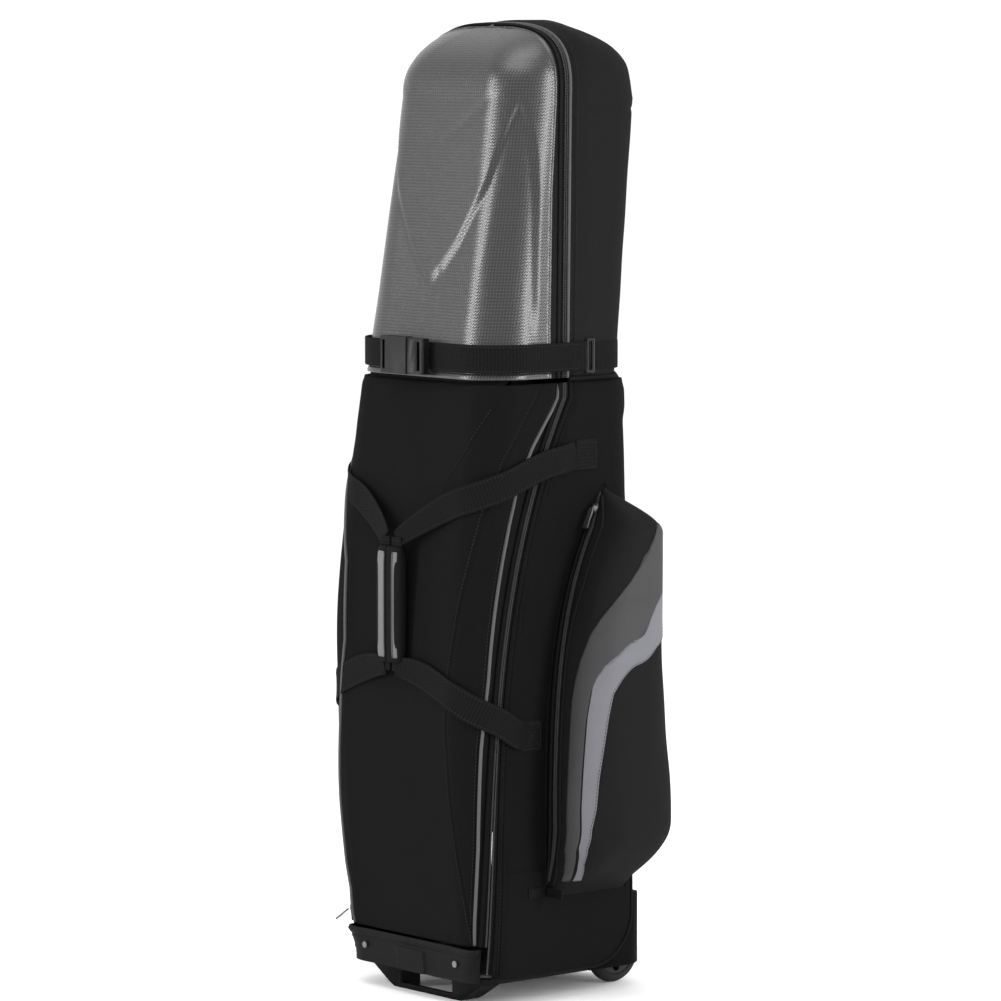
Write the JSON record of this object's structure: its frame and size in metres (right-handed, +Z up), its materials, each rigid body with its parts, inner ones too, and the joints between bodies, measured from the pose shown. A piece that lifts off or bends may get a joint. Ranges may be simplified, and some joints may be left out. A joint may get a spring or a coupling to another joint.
{
  "type": "golf travel case",
  "caption": "Upright wheeled golf travel case with a hard moulded top, soft fabric body, side pockets, haul loops, waist strap with a buckle, rear corner wheels and a stand foot.",
  "frame": {"origin": "on the ground plane, under the middle of the whole case", "axes": "+Z up along the standing case, -Y towards the front with the haul grip, +X towards the right side pocket"},
  "size_m": [0.5068, 0.3618, 1.3056],
  "materials": {
    "shell_weave": "glossy moulded sheet with a fine diagonal weave",
    "body_fabric": "coated woven polyester",
    "dome_fabric": "coated woven polyester over foam",
    "pocket_fabric": "coated woven polyester",
    "grey_piping": "corded piping",
    "zip_tape": "woven zip tape with a coil",
    "dark_swoosh": "satin woven panel",
    "pale_swoosh": "satin woven panel",
    "webbing": "ribbed webbing",
    "grip_fabric": "padded fabric wrap",
    "black_plastic": "moulded, fine grain",
    "board": "stiffener sheet",
    "inner_foam": "lining over foam",
    "tyre": "cast polyurethane",
    "hub_plastic": "moulded",
    "steel": "turned",
    "slider_metal": "gunmetal"
  },
  "bodies": {
    "case": {"rear_dome": "dome_fabric", "dome_piping": "body_fabric", "dome_zip": "zip_tape", "body_zip": "zip_tape", "right_gusset": "body_fabric", "left_gusset": "body_fabric", "back_panel": "body_fabric", "base_tray": "black_plastic", "base_bumper": "black_plastic", "bumper_screws": "steel", "base_board": "board", "back_stiffener": "board", "top_pad": "inner_foam", "inner_straps": "webbing", "foot_stand": "black_plastic", "waist_band": "body_fabric", "right_wheel_housing": "black_plastic", "right_axle": "steel", "left_wheel_housing": "black_plastic", "left_axle": "steel", "right_pocket": "pocket_fabric", "right_pocket_zip": "zip_tape", "right_dark_swoosh": "dark_swoosh", "right_pale_swoosh": "pale_swoosh", "left_pocket": "pocket_fabric", "left_pocket_zip": "zip_tape", "left_dark_swoosh": "dark_swoosh", "left_pale_swoosh": "pale_swoosh", "rear_strap": "webbing", "strap_hooks": "black_plastic", "anchor_patches": "webbing", "tow_handle": "webbing"},
    "lid": {"front_panel": "body_fabric", "panel_piping": "grey_piping", "panel_zip": "zip_tape"},
    "shell": {"front_shell": "shell_weave", "shell_piping": "grey_piping", "shell_zip": "zip_tape", "front_strap_right": "webbing", "front_strap_left": "webbing", "buckle_socket": "black_plastic"},
    "plug": {"buckle_plug": "black_plastic"},
    "upper_arm": {"buckle_upper_arm": "black_plastic"},
    "lower_arm": {"buckle_lower_arm": "black_plastic"},
    "right_loop": {"right_haul_loop": "webbing", "right_grip": "grip_fabric"},
    "left_loop": {"left_haul_loop": "webbing", "left_grip": "grip_fabric"},
    "right_wheel": {"right_tyre": "tyre", "right_hub": "hub_plastic", "right_bearings": "steel"},
    "left_wheel": {"left_tyre": "tyre", "left_hub": "hub_plastic", "left_bearings": "steel"},
    "main_slider": {"main_slider": "slider_metal"},
    "main_pull": {"main_pull": "slider_metal"},
    "right_pocket_slider": {"right_pocket_slider": "slider_metal"},
    "right_pocket_pull": {"right_pocket_pull": "slider_metal"},
    "left_pocket_slider": {"left_pocket_slider": "slider_metal"},
    "left_pocket_pull": {"left_pocket_pull": "slider_metal"}
  },
  "joints": [
    {"name": "lid_open", "type": "hinge", "parent": "case", "child": "lid", "pos_m": [0, -0.146, 0.081], "axis": [1, 0, 0], "range_deg": [0, 90]},
    {"name": "shell_open", "type": "hinge", "parent": "lid", "child": "shell", "pos_m": [0, -0.128, 0.833], "axis": [1, 0, 0], "range_deg": [0, 100]},
    {"name": "plug_slide", "type": "slide", "parent": "shell", "child": "plug", "axis": [1, 0, 0], "range_m": [0, 0.026]},
    {"name": "upper_arm_squeeze", "type": "slide", "parent": "plug", "child": "upper_arm", "axis": [0, 0, -1], "range_m": [0, 0.005]},
    {"name": "lower_arm_squeeze", "type": "slide", "parent": "plug", "child": "lower_arm", "axis": [0, 0, 1], "range_m": [0, 0.005]},
    {"name": "right_loop_swing", "type": "hinge", "parent": "lid", "child": "right_loop", "pos_m": [0.1522, 0.022, 0.732], "axis": [0, 0.2511, 0.9679], "range_deg": [0, 70]},
    {"name": "left_loop_swing", "type": "hinge", "parent": "lid", "child": "left_loop", "pos_m": [-0.1522, 0.022, 0.732], "axis": [0, -0.2511, -0.9679], "range_deg": [0, 70]},
    {"name": "right_wheel_spin", "type": "hinge", "parent": "case", "child": "right_wheel", "pos_m": [0.095, 0.137, 0.042], "axis": [1, 0, 0], "continuous": true},
    {"name": "left_wheel_spin", "type": "hinge", "parent": "case", "child": "left_wheel", "pos_m": [-0.095, 0.137, 0.042], "axis": [1, 0, 0], "continuous": true},
    {"name": "main_zip_slide", "type": "slide", "parent": "lid", "child": "main_slider", "axis": [-0.0532, 0.0169, 0.9984], "range_m": [0, 0.12]},
    {"name": "main_pull_flip", "type": "hinge", "parent": "main_slider", "child": "main_pull", "pos_m": [-0.14941, -0.1281, 0.09781], "axis": [-0.564, 0.8246, -0.044], "range_deg": [-35, 110]},
    {"name": "right_pocket_zip_slide", "type": "slide", "parent": "case", "child": "right_pocket_slider", "axis": [0.0877, -0.4552, -0.8861], "range_m": [0, 0.085]},
    {"name": "right_pocket_pull_flip", "type": "hinge", "parent": "right_pocket_slider", "child": "right_pocket_pull", "pos_m": [0.16157, 0.04129, 0.66159], "axis": [-0.9961, -0.0499, -0.073], "range_deg": [0, 150]},
    {"name": "left_pocket_zip_slide", "type": "slide", "parent": "case", "child": "left_pocket_slider", "axis": [-0.0877, -0.4552, -0.8861], "range_m": [0, 0.085]},
    {"name": "left_pocket_pull_flip", "type": "hinge", "parent": "left_pocket_slider", "child": "left_pocket_pull", "pos_m": [-0.16157, 0.04129, 0.66159], "axis": [-0.9961, 0.0499, 0.073], "range_deg": [0, 150]}
  ],
  "couplings": [
    {"joint": "upper_arm_squeeze", "follows": "plug_slide", "ratio": 0.16},
    {"joint": "lower_arm_squeeze", "follows": "plug_slide", "ratio": 0.16}
  ]
}
